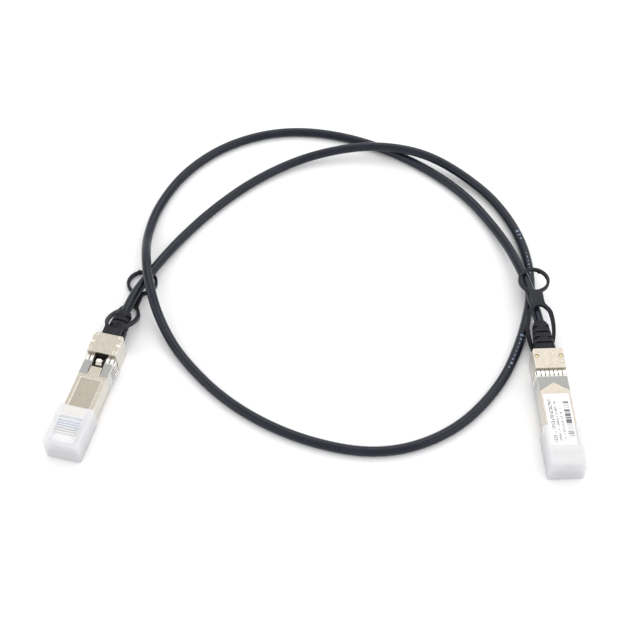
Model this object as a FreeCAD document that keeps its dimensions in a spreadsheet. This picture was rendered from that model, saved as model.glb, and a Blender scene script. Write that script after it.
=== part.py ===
import FreeCAD, Part
import math
import os
import re
import Sketcher
from FreeCAD import Placement, Rotation, Vector

# Direct attach copper cable: two pluggable modules joined by one shielded cable.
# Each module is modelled along +X from its mating end, latch side up, and then placed.
doc = FreeCAD.newDocument("attach_cable")

size = dict(
    moduleWidth=13.4, moduleHeight=8.5, moduleBase=1.4, partLine=5.65, cornerCut=0.35,
    noseLead=1.1, noseDrop=0.35, stopAt=47.5, shellEnd=58.1, backWidth=13.5, partWidth=14.3,
    backBase=0.2, backTop=12.0, backRound=0.8, sideWall=1.1, faceWall=0.8, rearWall=1.2,
    mouthOpen=10.4, chamberEnd=39.6, wireEnd=46.5, wireRoof=6.9, throatHalf=2.6,
    panelInset=2.0, panelHalf=4.75, panelDepth=0.15, markAt=57.2, markFront=48.7, markSide=5.7,
    markRadius=0.45, markDepth=0.1, dimpleAt=53.0, dimpleHalf=0.55, dimpleReach=1.6, dimpleDepth=0.4,
    collarFront=36.5, collarPeak=40.5, sheet=0.2, fingerFront=43.9, fingerEnd=47.3,
    fingerRise=0.42, fingerSlot=0.26, fingerPitch=1.9, sideSlotFront=40.2, tongueHalf=2.75,
    tongueSlot=0.25, seam=0.05, spare=1.0,
    cardFront=3.2, cardEnd=38.0, cardWidth=9.2, cardThick=1.0, cardRise=5.25, cardCorner=0.4,
    cardSide=0.1, padPitch=0.8, padWidth=0.5, padLength=2.2, padThick=0.05, padInset=0.5,
    chipAt=22.0, chipLength=4.9, chipWidth=3.0, chipHeight=0.9,
    coreRadius=0.45, coreLanding=2.5, coreBend=0.5, coreGather=0.42, coreSpread=3.0, coreInner=1.4,
    channelFront=41.0, channelEnd=48.3, channelHalf=3.15, channelFloor=7.7,
    mechFloor=8.4, mechRoof=11.0, leverFront=42.6, leverWidth=5.2, leverThick=0.7,
    leverLow=8.55, leverHigh=8.9, bossFront=43.4, bossLength=1.8, bossWidth=2.6, bossRise=0.45,
    pinAt=55.2, pinHeight=9.3, pinRadius=0.4, pinLength=8.4, pinClearance=0.02,
    bumpAt=50.5, bumpTop=9.95, bumpFlat=0.3, bumpFoot=0.9, eyeWall=0.3, bossCorner=0.55,
    sliderFront=48.3, sliderEnd=61.0, sliderHalf=2.9,
    sliderLow=10.1, sliderThick=0.7, rampDrop=0.27, running=0.1, springFront=51.6, springEnd=56.1,
    springRadius=0.4, springWire=0.2, windowHalf=0.85, windowSpare=1.2,
    cableDiameter=4.5, throatGap=0.03, tailStart=50.0, ferruleStart=49.3, ferruleEnd=55.0,
    ferruleWall=0.2, neckRadius=3.0, flangeHalf=3.4, flangeTop=2.4, flangeThick=1.0,
    bootEnd=76.0, tipSetback=0.3, bootBaseHalf=5.1, bootTipHalf=3.7, bootBaseRise=3.2,
    bootTipRise=2.85, bootCorner=2.2, bootDome=1.8, bootDomeDrop=0.75,
    bootSlot=0.85, bootSlotFirst=63.3, bootSlotPitch=3.05, bootSpine=1.85, bootCore=0.15,
    tabBaseHalf=4.1, tabThick=1.6, tabLow=9.6, tabDrop=9.2, tabGap=0.3, bendStart=64.0,
    bendEnd=79.3, bendEase=0.45, loopCentre=72.8, loopLength=10.4, loopHalf=5.15, loopBand=1.55,
    loopFlare=5.0, bridgeHalf=2.85, bridgeFlare=1.6, ringCentre=98.2, ringRadius=7.3, ringBand=1.3,
    nubTurn=31.0, nubRadius=0.75, nubHeight=0.5,
    capFront=-2.3, capMouth=17.8, capWidth=16.0, capTop=2.15, capClearance=0.15,
    capFrontWall=1.6, capRound=1.2, capRecess=1.0, capRecessEnd=12.4, capRecessHalf=5.15,
    capRib=0.5, capRibPitch=1.24, capRibFirst=4.4, capRibSink=0.15,
    labelFront=8.4, labelEnd=34.4, labelHalf=5.6, labelThick=0.1, labelGap=0.1,
    rivetAt=54.0, rivetHalf=5.35, rivetRadius=0.75, rivetSeat=1.1, rivetDepth=0.5, rivetRise=0.42)
# Sizes that follow from the ones above.
size.update(
    capHeight="=moduleBase + moduleHeight + capClearance + capTop",
    cableAxis="=mechFloor - faceWall / 2 - throatGap - ferruleWall - pinClearance - cableDiameter / 2")
RIBS = 6
PADS = 10
LABEL_SLOTS = 6
SIDE_SLOTS = 3
SPRING_TURNS = 4
BOOT_SLOTS = 4

# Where each module stands: mating end in the part's frame and the way its cable leaves.
# The left one lies latch side up, the right one label side up.
STATIONS = {
    "left": dict(x=-106.2, y=-45.1, yaw=75.7, flipped=False),
    "right": dict(x=106.4, y=-54.7, yaw=92.2, flipped=True),
}

# Points that the cable's centre runs past, from the left boot to the right one.
ROUTE = [
    (-87.4, 28.5, 5.5), (-85, 38.1, 5.3), (-80.8, 47.3, 4.9), (-76.3, 56.2, 4.8), (-71.4, 66.5, 3.3),
    (-64.4, 78.8, 2.25), (-50.9, 96.7, 2.25), (-31.4, 116.7, 2.3), (-7.9, 131.5, 3.3),
    (15.6, 136.5, 6.4), (35.6, 136.9, 7.6), (57.1, 131.3, 7.5), (76.1, 119.8, 3.6), (92.1, 101.3, 2.25),
    (102.5, 74, 2.25), (103.4, 44.5, 2.25), (95.6, 16, 2.25), (83.1, -11, 2.25), (60.3, -35.5, 2.25),
    (29.1, -46.7, 2.25), (-6.4, -38.8, 2.25), (-37.4, -20.5, 2.25), (-60.7, 5.5, 2.25),
    (-71.7, 25.5, 5), (-77.3, 42.5, 9.9), (-80.2, 59, 9.9), (-81.9, 77.5, 3.6), (-78.3, 99.5, 2.25),
    (-66.1, 124.1, 2.25), (-44.9, 144.1, 2.25), (-15.9, 154.3, 2.25), (16.1, 150, 2.25),
    (47.6, 134, 2.25), (75.1, 109.3, 2.25), (91.6, 79, 2.9), (97.9, 54.5, 7.5), (101.5, 37, 7.5),
    (103.5, 21.2, 6.7)]

sheet = doc.addObject("Spreadsheet::Sheet", "Dims")
for row, (alias, number) in enumerate(size.items(), start=1):
    sheet.set("A%d" % row, alias)
    sheet.set("B%d" % row, str(number))
    sheet.setAlias("B%d" % row, alias)
doc.recompute()


def bound(text):
    """Turn a formula in the sheet's names into one that FreeCAD resolves."""
    return re.sub(r"[A-Za-z]\w+", lambda word: "Dims." + word.group(0)
                  if word.group(0) in size else word.group(0), text)


def value(text):
    return float(sheet.evalExpression(bound(text)))


def station(side):
    spot = STATIONS[side]
    place = Placement(Vector(spot["x"], spot["y"], 0), Rotation(Vector(0, 0, 1), spot["yaw"]))
    if spot["flipped"]:
        turn = Placement(Vector(0, 0, value("capHeight")), Rotation(Vector(1, 0, 0), 180))
        place = place.multiply(turn)
    return place


# --- sketch and feature helpers ------------------------------------------------------------


def newBody(side, name):
    body = doc.addObject("PartDesign::Body", side + "_" + name)
    body.Label = side + "_" + name
    return body


def newSketch(body, role, offset="0"):
    sketch = body.newObject("Sketcher::SketchObject", "Sketch")
    planes = [item for item in body.Origin.OriginFeatures if item.Role == role]
    sketch.AttachmentSupport = [(planes[0], "")]
    sketch.MapMode = "FlatFace"
    sketch.setExpression("AttachmentOffset.Base.z", bound(offset))
    return sketch


def hold(sketch, kind, *arguments):
    """Add a constraint whose last argument is a formula."""
    number = value(arguments[-1])
    index = sketch.addConstraint(Sketcher.Constraint(kind, *arguments[:-1], number))
    sketch.setExpression("Constraints[%d]" % index, bound(arguments[-1]))


def polygon(sketch, points):
    first = sketch.GeometryCount
    count = len(points)
    spots = [Vector(value(x), value(y), 0) for x, y in points]
    for i in range(count):
        sketch.addGeometry(Part.LineSegment(spots[i], spots[(i + 1) % count]), False)
    for i in range(count):
        follower = first + (i + 1) % count
        sketch.addConstraint(Sketcher.Constraint("Coincident", first + i, 2, follower, 1))
    for i, (x, y) in enumerate(points):
        hold(sketch, "DistanceX", -1, 1, first + i, 1, x)
        hold(sketch, "DistanceY", -1, 1, first + i, 1, y)


def rectangle(sketch, left, right, low, high):
    polygon(sketch, [(left, low), (right, low), (right, high), (left, high)])


def circle(sketch, x, y, radius):
    first = sketch.GeometryCount
    centre = Vector(value(x), value(y), 0)
    sketch.addGeometry(Part.Circle(centre, Vector(0, 0, 1), value(radius)), False)
    hold(sketch, "DistanceX", -1, 1, first, 3, x)
    hold(sketch, "DistanceY", -1, 1, first, 3, y)
    hold(sketch, "Radius", first, radius)


def roundedRectangle(sketch, left, right, low, high, radius):
    first = sketch.GeometryCount
    x0, x1, y0, y1, r = (value(text) for text in (left, right, low, high, radius))
    corners = [(x1 - r, y0 + r, -90), (x1 - r, y1 - r, 0), (x0 + r, y1 - r, 90), (x0 + r, y0 + r, 180)]
    for x, y, start in corners:
        ring = Part.Circle(Vector(x, y, 0), Vector(0, 0, 1), r)
        arc = Part.ArcOfCircle(ring, math.radians(start), math.radians(start + 90))
        sketch.addGeometry(arc, False)
    for i in range(4):
        begin = sketch.getPoint(first + i, 2)
        end = sketch.getPoint(first + (i + 1) % 4, 1)
        sketch.addGeometry(Part.LineSegment(begin, end), False)
    for i in range(4):
        sketch.addConstraint(Sketcher.Constraint("Tangent", first + i, 2, first + 4 + i, 1))
        sketch.addConstraint(Sketcher.Constraint("Tangent", first + 4 + i, 2, first + (i + 1) % 4, 1))
    for i in range(4):
        kind = "Vertical" if i % 2 == 0 else "Horizontal"
        sketch.addConstraint(Sketcher.Constraint(kind, first + 4 + i))
    for i in range(1, 4):
        sketch.addConstraint(Sketcher.Constraint("Equal", first, first + i))
    hold(sketch, "Radius", first, radius)
    hold(sketch, "DistanceX", -1, 1, first + 4, 1, right)
    hold(sketch, "DistanceX", -1, 1, first + 6, 1, left)
    hold(sketch, "DistanceY", -1, 1, first + 5, 1, high)
    hold(sketch, "DistanceY", -1, 1, first + 7, 1, low)


def pad(body, sketch, length, middle=False):
    feature = body.newObject("PartDesign::Pad", "Pad")
    feature.Profile = sketch
    feature.Midplane = middle
    feature.setExpression("Length", bound(length))
    doc.recompute()
    return feature


def pocket(body, sketch, length, forward=False, middle=False):
    """Cut against the sketch's normal, or along it when forward is set."""
    before = body.Shape.Volume
    feature = body.newObject("PartDesign::Pocket", "Pocket")
    feature.Profile = sketch
    feature.Reversed = forward
    feature.Midplane = middle
    feature.setExpression("Length", bound(length))
    doc.recompute()
    if body.Shape.Volume >= before - 1e-6:
        raise RuntimeError("a pocket in %s cuts nothing" % body.Label)
    return feature


def feature(side, name, shape):
    item = doc.addObject("Part::Feature", side + "_" + name)
    item.Label = side + "_" + name
    item.Shape = shape
    return item


def box(name, x, y, z, length, width, height):
    """A Part box from its low corner and its three sizes, all formulas."""
    item = doc.addObject("Part::Box", name)
    for attribute, text in (("Length", length), ("Width", width), ("Height", height),
                            ("Placement.Base.x", x), ("Placement.Base.y", y), ("Placement.Base.z", z)):
        item.setExpression(attribute, bound(text))
    return item


def rod(name, x, z, radius, length, axis):
    """A Part cylinder along X from x, or centred across Y at x, at height z."""
    item = doc.addObject("Part::Cylinder", name)
    item.setExpression("Radius", bound(radius))
    item.setExpression("Height", bound(length))
    turn = Rotation(Vector(0, 1, 0), 90) if axis == "x" else Rotation(Vector(1, 0, 0), -90)
    item.Placement = Placement(Vector(0, 0, 0), turn)
    item.setExpression("Placement.Base.x", bound(x))
    item.setExpression("Placement.Base.z", bound(z))
    if axis == "y":
        item.setExpression("Placement.Base.y", bound("-(%s) / 2" % length))
    return item


# --- housings -------------------------------------------------------------------------------


def topShell(side):
    """Label-side half of the die-cast housing, with its half of the backshell."""
    body = newBody(side, "top_shell")
    outline = newSketch(body, "YZ_Plane")
    polygon(outline, [("-moduleWidth / 2", "partLine"), ("-moduleWidth / 2", "moduleBase + cornerCut"),
                      ("-moduleWidth / 2 + cornerCut", "moduleBase"),
                      ("moduleWidth / 2 - cornerCut", "moduleBase"),
                      ("moduleWidth / 2", "moduleBase + cornerCut"), ("moduleWidth / 2", "partLine")])
    pad(body, outline, "stopAt")
    back = newSketch(body, "YZ_Plane", "stopAt")
    polygon(back, [("-partWidth / 2", "partLine"), ("-backWidth / 2", "backBase"),
                   ("backWidth / 2", "backBase"), ("partWidth / 2", "partLine")])
    pad(body, back, "shellEnd - stopAt")
    roundRear(body, "backRound")
    chamber = newSketch(body, "XY_Plane", "partLine")
    rectangle(chamber, "-1", "wireEnd", "-moduleWidth / 2 + sideWall", "moduleWidth / 2 - sideWall")
    pocket(body, chamber, "partLine - moduleBase - faceWall")
    rear = newSketch(body, "XY_Plane", "partLine")
    rectangle(rear, "channelEnd + tipSetback", "shellEnd - rearWall", "-flangeHalf - cardCorner",
              "flangeHalf + cardCorner")
    pocket(body, rear, "partLine - cableAxis + flangeHalf + running")
    wires = newSketch(body, "XY_Plane", "partLine")
    rectangle(wires, "wireEnd - 1", "channelEnd + 1", "-throatHalf", "throatHalf")
    pocket(body, wires, "partLine - moduleBase - faceWall")
    exitHole = newSketch(body, "YZ_Plane", "shellEnd")
    circle(exitHole, "0", "cableAxis", "neckRadius + seam")
    pocket(body, exitHole, "rearWall + running")
    collarSeat(body, "moduleBase - 1", "partLine")
    nose(body, "moduleBase", "moduleBase + noseDrop", "moduleBase - noseDrop")
    chevron = newSketch(body, "XY_Plane", "moduleBase")
    polygon(chevron, [("collarFront - seam", "-moduleWidth / 2 + cornerCut"), ("collarPeak", "0"),
                      ("collarFront - seam", "moduleWidth / 2 - cornerCut")])
    pad(body, chevron, "sheet + seam")
    label = newSketch(body, "XY_Plane", "moduleBase")
    rectangle(label, "labelFront - labelGap", "labelEnd + labelGap", "-labelHalf - labelGap",
              "labelHalf + labelGap")
    pocket(body, label, "labelThick", forward=True)
    seats = newSketch(body, "XY_Plane", "backBase")
    circle(seats, "rivetAt", "rivetHalf", "rivetSeat")
    circle(seats, "rivetAt", "-rivetHalf", "rivetSeat")
    pocket(body, seats, "rivetDepth", forward=True)
    return body


def nose(body, face, inside, outside):
    """Lead-in slopes at the mating end, on one broad face and on both sides."""
    slope = newSketch(body, "XZ_Plane")
    polygon(slope, [("-1", inside), ("0", inside), ("noseLead", face), ("noseLead", outside),
                    ("-1", outside)])
    pocket(body, slope, "2 * moduleWidth", middle=True)
    edge = "moduleWidth / 2"
    sides = newSketch(body, "XY_Plane")
    for mark in ("", "-"):
        polygon(sides, [("-1", mark + "(%s - noseDrop)" % edge), ("0", mark + "(%s - noseDrop)" % edge),
                        ("noseLead", mark + "(%s)" % edge), ("noseLead", mark + "(%s + 1)" % edge),
                        ("-1", mark + "(%s + 1)" % edge)])
    pocket(body, sides, "4 * moduleHeight", middle=True)


def roundRear(body, radius):
    """Rounds the two upright corners at the cable end of a housing half."""
    last = body.Tip
    names = []
    for i, edge in enumerate(last.Shape.Edges, start=1):
        box = edge.BoundBox
        if box.XLength < 1e-6 and abs(box.XMin - value("shellEnd")) < 1e-6 and box.ZLength > 1:
            names.append("Edge%d" % i)
    fillet = body.newObject("PartDesign::Fillet", "Fillet")
    fillet.Base = (last, names)
    fillet.setExpression("Radius", bound(radius))
    doc.recompute()


def collarSeat(body, low, high):
    """Shallow step all round the housing that the sheet collar lies in."""
    seat = newSketch(body, "YZ_Plane", "collarFront")
    rectangle(seat, "-moduleWidth / 2 + sheet", "-moduleWidth / 2 - 1", low, high)
    rectangle(seat, "moduleWidth / 2 - sheet", "moduleWidth / 2 + 1", low, high)
    pocket(body, seat, "stopAt - collarFront", forward=True)
    face = newSketch(body, "YZ_Plane", "collarFront")
    if "moduleBase" in low:
        rectangle(face, "-moduleWidth / 2", "moduleWidth / 2", low, "moduleBase + sheet")
    else:
        top = "moduleBase + moduleHeight"
        rectangle(face, "-moduleWidth / 2", "moduleWidth / 2", top + " - sheet", high)
    pocket(body, face, "stopAt - collarFront", forward=True)


def latchShell(side):
    """Latch-side half of the housing: open mouth, latch channel and slider chamber."""
    top = "moduleBase + moduleHeight"
    body = newBody(side, "latch_shell")
    outline = newSketch(body, "YZ_Plane")
    polygon(outline, [("-moduleWidth / 2", "partLine"), ("moduleWidth / 2", "partLine"),
                      ("moduleWidth / 2", top + " - cornerCut"), ("moduleWidth / 2 - cornerCut", top),
                      ("-moduleWidth / 2 + cornerCut", top), ("-moduleWidth / 2", top + " - cornerCut")])
    pad(body, outline, "stopAt")
    back = newSketch(body, "YZ_Plane", "stopAt")
    polygon(back, [("-partWidth / 2", "partLine"), ("partWidth / 2", "partLine"),
                   ("backWidth / 2", "backTop"), ("-backWidth / 2", "backTop")])
    pad(body, back, "shellEnd - stopAt")
    roundRear(body, "backRound")
    chamber = newSketch(body, "XY_Plane", "partLine")
    rectangle(chamber, "-1", "chamberEnd", "-moduleWidth / 2 + sideWall", "moduleWidth / 2 - sideWall")
    pocket(body, chamber, "moduleBase + moduleHeight - faceWall - partLine", forward=True)
    mouth = newSketch(body, "XY_Plane", top)
    rectangle(mouth, "-1", "mouthOpen", "-moduleWidth / 2 + sideWall", "moduleWidth / 2 - sideWall")
    pocket(body, mouth, "2 * faceWall")
    wires = newSketch(body, "XY_Plane", "partLine")
    rectangle(wires, "chamberEnd - 1", "wireEnd", "-moduleWidth / 2 + sideWall",
              "moduleWidth / 2 - sideWall")
    pocket(body, wires, "wireRoof - partLine", forward=True)
    throat = newSketch(body, "XY_Plane", "partLine")
    rectangle(throat, "wireEnd - 1", "channelEnd + 1", "-throatHalf", "throatHalf")
    pocket(body, throat, "wireRoof - partLine", forward=True)
    rear = newSketch(body, "XY_Plane", "partLine")
    rectangle(rear, "channelEnd + tipSetback", "shellEnd - rearWall", "-flangeHalf - cardCorner",
              "flangeHalf + cardCorner")
    pocket(body, rear, "mechFloor - faceWall / 2 - partLine", forward=True)
    exitHole = newSketch(body, "YZ_Plane", "shellEnd")
    circle(exitHole, "0", "cableAxis", "neckRadius + seam")
    pocket(body, exitHole, "rearWall + running")
    channel = newSketch(body, "XY_Plane", top)
    rectangle(channel, "channelFront", "channelEnd", "-channelHalf", "channelHalf")
    pocket(body, channel, top + " - channelFloor")
    mechanism = newSketch(body, "XY_Plane", "mechFloor")
    rectangle(mechanism, "stopAt - 1", "shellEnd - rearWall", "-channelHalf", "channelHalf")
    pocket(body, mechanism, "mechRoof - mechFloor", forward=True)
    slot = newSketch(body, "YZ_Plane", "shellEnd")
    rectangle(slot, "-sliderHalf - running", "sliderHalf + running", "sliderLow - running",
              "sliderLow + sliderThick + running")
    pocket(body, slot, "rearWall + running")
    post = newSketch(body, "XY_Plane", "sliderLow - running")
    rectangle(post, "springEnd", "shellEnd - rearWall + running", "-windowHalf + tongueSlot",
              "windowHalf - tongueSlot")
    pad(body, post, "mechRoof - sliderLow + 2 * running")
    pinHole = newSketch(body, "XZ_Plane")
    circle(pinHole, "pinAt", "pinHeight", "pinRadius + pinClearance")
    pocket(body, pinHole, "pinLength + 2 * running", middle=True)
    collarSeat(body, "partLine", top + " + 1")
    tongue = newSketch(body, "XY_Plane", top + " - sheet")
    rectangle(tongue, "collarFront - seam", "channelFront", "-tongueHalf + tongueSlot",
              "tongueHalf - tongueSlot")
    pad(body, tongue, "sheet")
    nose(body, top, top + " - noseDrop", top + " + noseDrop")
    panel = newSketch(body, "XY_Plane", top)
    rectangle(panel, "mouthOpen + panelInset", "collarFront - panelInset", "-panelHalf", "panelHalf")
    pocket(body, panel, "panelDepth")
    dimples = newSketch(body, "XY_Plane", "backTop")
    for edge in ("-backWidth / 2", "backWidth / 2"):
        roundedRectangle(dimples, "dimpleAt - dimpleHalf", "dimpleAt + dimpleHalf",
                         edge + " - dimpleReach", edge + " + dimpleReach", "dimpleHalf - seam")
    pocket(body, dimples, "dimpleDepth")
    marks = newSketch(body, "XY_Plane", "backTop")
    for place in ("markAt", "markFront"):
        for y in ("-markSide", "markSide"):
            circle(marks, place, y, "markRadius")
    pocket(body, marks, "markDepth")
    return body


# --- shielding collar -----------------------------------------------------------------------


def archProfile(base, rise):
    """Closed strip of sheet that bows out by rise, seen from the side, outwards positive."""
    front, end, thick = value("fingerFront"), value("fingerEnd"), value("sheet")
    middle = (front + end) / 2
    outer = Part.Arc(Vector(front, 0, base), Vector(middle, 0, base + rise), Vector(end, 0, base))
    inner = Part.Arc(Vector(end, 0, base - thick), Vector(middle, 0, base + rise - thick),
                     Vector(front, 0, base - thick))
    closing = [Part.LineSegment(outer.EndPoint, inner.StartPoint),
               Part.LineSegment(inner.EndPoint, outer.StartPoint)]
    edges = [outer.toShape(), closing[0].toShape(), inner.toShape(), closing[1].toShape()]
    return Part.Face(Part.Wire(edges))


def emiCollar(side):
    """Sheet-metal collar: plain band in front, bowed spring fingers behind it."""
    width, height, base = value("moduleWidth"), value("moduleHeight"), value("moduleBase")
    front, end, thick = value("collarFront"), value("fingerEnd"), value("sheet")
    fingers, rise, slot = value("fingerFront"), value("fingerRise"), value("fingerSlot")
    band = Part.makeBox(fingers - front, width, height, Vector(front, -width / 2, base))
    core = Part.makeBox(fingers - front, width - 2 * thick, height - 2 * thick,
                        Vector(front, -width / 2 + thick, base + thick))
    sleeve = band.cut(core)
    across = archProfile(height / 2, rise).extrude(Vector(0, width - 2 * thick, 0))
    across.translate(Vector(0, -width / 2 + thick, base + height / 2))
    beside = archProfile(width / 2, rise).extrude(Vector(0, height - 2 * thick, 0))
    beside.translate(Vector(0, -height / 2 + thick, 0))
    centre = Vector(0, 0, base + height / 2)
    alongX = Vector(1, 0, 0)
    pieces = [across, across.copy()]
    pieces[1].rotate(centre, alongX, 180)
    for angle in (90, -90):
        flank = beside.copy()
        flank.rotate(Vector(0, 0, 0), alongX, angle)
        flank.translate(centre)
        pieces.append(flank)
    sleeve = sleeve.fuse(pieces)
    cuts = []
    spare = value("spare")
    pitch = value("fingerPitch")
    for i in range(LABEL_SLOTS):
        y = (i - (LABEL_SLOTS - 1) / 2) * pitch
        cuts.append(Part.makeBox(end - fingers + spare, slot, height / 2,
                                 Vector(fingers, y - slot / 2, base - spare)))
        if abs(y) > value("channelHalf"):
            cuts.append(Part.makeBox(end - fingers + spare, slot, height / 2,
                                     Vector(fingers, y - slot / 2, base + height / 2 + spare)))
    start = value("sideSlotFront")
    for i in range(SIDE_SLOTS):
        z = base + height / 2 + (i - (SIDE_SLOTS - 1) / 2) * pitch
        cuts.append(Part.makeBox(end - start + spare, width + 2 * spare, slot,
                                 Vector(start, -width / 2 - spare, z - slot / 2)))
    half = value("tongueHalf")
    cuts.append(Part.makeBox(end - front + 2 * spare, 2 * half, height,
                             Vector(front - spare, -half, base + height / 2)))
    peak = value("collarPeak")
    lowest = base - spare
    notch = Part.makePolygon([Vector(front, -width / 2, lowest), Vector(peak, 0, lowest),
                              Vector(front, width / 2, lowest), Vector(front, -width / 2, lowest)])
    cuts.append(Part.Face(notch).extrude(Vector(0, 0, spare + 2 * thick)))
    return feature(side, "emi_collar", sleeve.cut(cuts).removeSplitter())


# --- electronics ----------------------------------------------------------------------------


def paddleCard(side):
    body = newBody(side, "paddle_card")
    outline = newSketch(body, "XY_Plane", "moduleBase + cardRise")
    wide = "moduleWidth / 2 - sideWall - cardSide"
    half = "cardWidth / 2"
    polygon(outline, [("cardFront", "cardCorner - cardWidth / 2"), ("cardFront + cardCorner", "-" + half),
                      ("mouthOpen + 1", "-" + half), ("mouthOpen + 1", "-(%s)" % wide),
                      ("cardEnd", "-(%s)" % wide), ("cardEnd", wide), ("mouthOpen + 1", wide),
                      ("mouthOpen + 1", half), ("cardFront + cardCorner", half),
                      ("cardFront", half + " - cardCorner")])
    pad(body, outline, "cardThick")
    return body


def cardContacts(side):
    """Gold edge contacts, a row on each face of the card."""
    top = value("moduleBase + cardRise + cardThick")
    thick, wide, long = value("padThick"), value("padWidth"), value("padLength")
    pads = []
    for z in (top, top - value("cardThick") - thick):
        for i in range(PADS):
            y = (i - (PADS - 1) / 2) * value("padPitch")
            corner = Vector(value("cardFront + padInset"), y - wide / 2, z)
            pads.append(Part.makeBox(long, wide, thick, corner))
    return feature(side, "card_contacts", Part.makeCompound(pads))


def memoryChip(side):
    face = "moduleBase + cardRise"
    return box(side + "_memory_chip", "chipAt", "-chipWidth / 2", face + " - chipHeight", "chipLength",
               "chipWidth", "chipHeight")


def wirePairs(side):
    """Four insulated cores from the card's rear pads to the crimped end of the cable."""
    radius = value("coreRadius")
    level = value("moduleBase + cardRise - pinClearance") - radius
    landing = value("cardEnd - coreLanding")
    bend = value("cardEnd + coreBend")
    cores = []
    for reach in ("-coreSpread", "-coreInner", "coreInner", "coreSpread"):
        y = value(reach)
        path = [Vector(landing, y, level), Vector(bend, y, level),
                Vector(value("tailStart - sheet"), y * value("coreGather"), value("cableAxis"))]
        section = Part.Wire(Part.makeCircle(radius, path[0], Vector(1, 0, 0)))
        cores.append(Part.makePolygon(path).makePipeShell([section], True, False, 1))
    return feature(side, "wire_pairs", Part.makeCompound(cores))


def cableTail(side):
    """Jacket inside the boot, stopped just inside its tip, where the free cable starts."""
    return rod(side + "_cable_tail", "tailStart", "cableAxis", "cableDiameter / 2",
               "bootEnd - tipSetback - tailStart", "x")


def crimpFerrule(side):
    bore = "cableDiameter / 2 + pinClearance"
    outer = rod(side + "_ferrule_outer", "ferruleStart", "cableAxis", bore + " + ferruleWall",
                "ferruleEnd - ferruleStart", "x")
    inner = rod(side + "_ferrule_bore", "ferruleStart - 1", "cableAxis", bore,
                "ferruleEnd - ferruleStart + 2", "x")
    return cut(side + "_crimp_ferrule", outer, inner)


# --- latch mechanism ------------------------------------------------------------------------


def latchLever(side):
    """Sheet lever: boss in front, bump under the slider, eye on the pin."""
    body = newBody(side, "latch_lever")
    arm = newSketch(body, "XZ_Plane")
    step = "channelEnd - 2 * bumpFlat"
    polygon(arm, [("leverFront", "leverLow"), (step + " - cardCorner", "leverLow"),
                  (step + " + cardCorner", "leverHigh"), ("pinAt", "leverHigh"),
                  ("pinAt", "leverHigh + leverThick"), ("bumpAt + bumpFoot", "leverHigh + leverThick"),
                  ("bumpAt + bumpFlat", "bumpTop"), ("bumpAt - bumpFlat", "bumpTop"),
                  ("bumpAt - bumpFoot", "leverHigh + leverThick"),
                  (step + " + sheet", "leverHigh + leverThick"),
                  (step + " - 3 * sheet", "leverLow + leverThick"),
                  ("leverFront", "leverLow + leverThick")])
    pad(body, arm, "leverWidth", middle=True)
    eye = newSketch(body, "XZ_Plane")
    circle(eye, "pinAt", "pinHeight", "pinRadius + eyeWall")
    pad(body, eye, "leverWidth", middle=True)
    bore = newSketch(body, "XZ_Plane")
    circle(bore, "pinAt", "pinHeight", "pinRadius + seam")
    pocket(body, bore, "leverWidth + 1", middle=True)
    boss = newSketch(body, "XY_Plane", "leverLow")
    back, side = "bossFront + bossLength", "bossWidth / 2"
    polygon(boss, [("bossFront", "-" + side), (back + " - bossCorner", "-" + side),
                   (back, "bossCorner - " + side), (back, side + " - bossCorner"),
                   (back + " - bossCorner", side), ("bossFront", side)])
    pad(body, boss, "moduleBase + moduleHeight + bossRise - leverLow")
    return body


def latchPin(side):
    return rod(side + "_latch_pin", "pinAt", "pinHeight", "pinRadius", "pinLength", "y")


def pullSlider(side):
    """Flat slider with a ramp under its nose and a window round the return spring."""
    body = newBody(side, "pull_slider")
    plate = newSketch(body, "XY_Plane", "sliderLow")
    rectangle(plate, "sliderFront", "sliderEnd", "-sliderHalf", "sliderHalf")
    rectangle(plate, "springFront", "springEnd + windowSpare", "-windowHalf", "windowHalf")
    pad(body, plate, "sliderThick")
    ramp = newSketch(body, "XZ_Plane")
    polygon(ramp, [("sliderFront", "sliderLow + running"), ("sliderFront", "sliderLow - rampDrop"),
                   ("bumpAt - running", "sliderLow"), ("bumpAt - running", "sliderLow + running")])
    pad(body, ramp, "2 * sliderHalf", middle=True)
    return body


def returnSpring(side):
    """Small coil spring between the slider's window and the post on the shell."""
    wire, mean = value("springWire"), value("springRadius")
    length = value("springEnd - springFront - springWire - running")
    coil = Part.Wire(Part.makeHelix(length / SPRING_TURNS, length, mean))
    section = Part.Wire(Part.makeCircle(wire / 2, Vector(mean, 0, 0), Vector(0, 1, 0)))
    spring = coil.makePipeShell([section], True, True)
    spring.rotate(Vector(0, 0, 0), Vector(0, 1, 0), 90)
    spring.translate(Vector(value("springFront + springWire / 2 + seam"), 0,
                            value("sliderLow + sliderThick / 2")))
    return feature(side, "return_spring", spring)


# --- moulded parts --------------------------------------------------------------------------


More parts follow.
